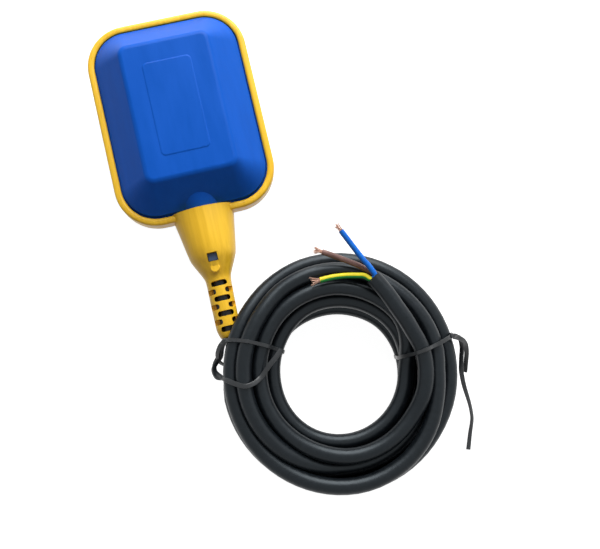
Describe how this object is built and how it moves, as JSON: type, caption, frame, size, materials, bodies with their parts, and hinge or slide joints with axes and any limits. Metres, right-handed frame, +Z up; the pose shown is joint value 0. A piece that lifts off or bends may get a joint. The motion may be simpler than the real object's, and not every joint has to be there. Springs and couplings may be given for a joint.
{
  "type": "cable float switch",
  "caption": "Flat blue and yellow float with a steel ball and a microswitch inside, on a coiled black cable with three stripped cores.",
  "frame": {"origin": "under the middle of the float and its bend protector, on the surface that the float lies on", "axes": "+Y from the cable end to the float's far end, +Z up through the float's thickness, +X across the float"},
  "size_m": [0.1568, 0.256, 0.042],
  "materials": {
    "shell_blue": "satin moulded polypropylene",
    "gland_blue": "moulded",
    "frame_yellow": "satin moulded",
    "cable_black": "smooth rubber sheath",
    "tie_black": "plastic-coated wire",
    "seal_rubber": "matt",
    "resin": "cast",
    "box_grey": "moulded",
    "switch_black": "moulded",
    "plunger_white": "moulded",
    "steel": "bright",
    "ball_steel": "polished",
    "brass": "bright",
    "copper": "bare copper strands",
    "core_blue": "core insulation",
    "core_brown": "core insulation",
    "core_earth": "green and yellow core insulation"
  },
  "bodies": {
    "root": {"upper_shell": "shell_blue", "lower_shell": "shell_blue", "frame_boot": "frame_yellow", "gland_body": "gland_blue", "grommet": "seal_rubber", "clamp_collar": "brass", "potting": "resin", "cable_inner": "cable_black", "wire_blue": "core_blue", "wire_brown": "core_brown", "wire_earth": "core_earth", "capsule_base": "box_grey", "capsule_lid": "box_grey", "capsule_screw_1": "steel", "capsule_screw_2": "steel", "capsule_screw_3": "steel", "capsule_screw_4": "steel", "switch_case": "switch_black", "switch_cover": "switch_black", "mounting_pin_left": "steel", "mounting_pin_right": "steel", "lever_pin": "steel", "terminal_common": "brass", "terminal_no": "brass", "terminal_nc": "brass", "cable_lead": "cable_black", "cable_coil": "cable_black", "cable_tail": "cable_black", "core_blue": "core_blue", "core_brown": "core_brown", "core_earth": "core_earth", "strands_blue": "copper", "strands_brown": "copper", "strands_earth": "copper", "tie_left": "tie_black", "tie_right": "tie_black"},
    "ball": {"ball": "ball_steel"},
    "lever": {"switch_lever": "steel"},
    "plunger": {"plunger": "plunger_white"},
    "blade": {"snap_blade": "brass"}
  },
  "joints": [
    {"name": "ball_roll", "type": "slide", "parent": "root", "child": "ball", "axis": [0, -1, 0], "range_m": [0, 0.0193]},
    {"name": "lever_swing", "type": "hinge", "parent": "root", "child": "lever", "pos_m": [-0.0105, 0.03255, 0.02075], "axis": [0, 0, -1], "range_deg": [0, 4.22], "stiffness_Nm_per_rad": 0.01, "springref_deg": -5.73},
    {"name": "plunger_press", "type": "slide", "parent": "root", "child": "plunger", "axis": [0, -1, 0], "range_m": [0, 0.0007]},
    {"name": "blade_snap", "type": "hinge", "parent": "root", "child": "blade", "pos_m": [-0.008, 0.02695, 0.02075], "axis": [0, 0, -1], "range_deg": [0, 5.75]}
  ],
  "couplings": [
    {"joint": "plunger_press", "follows": "lever_swing", "m_per_rad": 0.00948},
    {"joint": "blade_snap", "follows": "lever_swing", "ratio": 1.355}
  ]
}
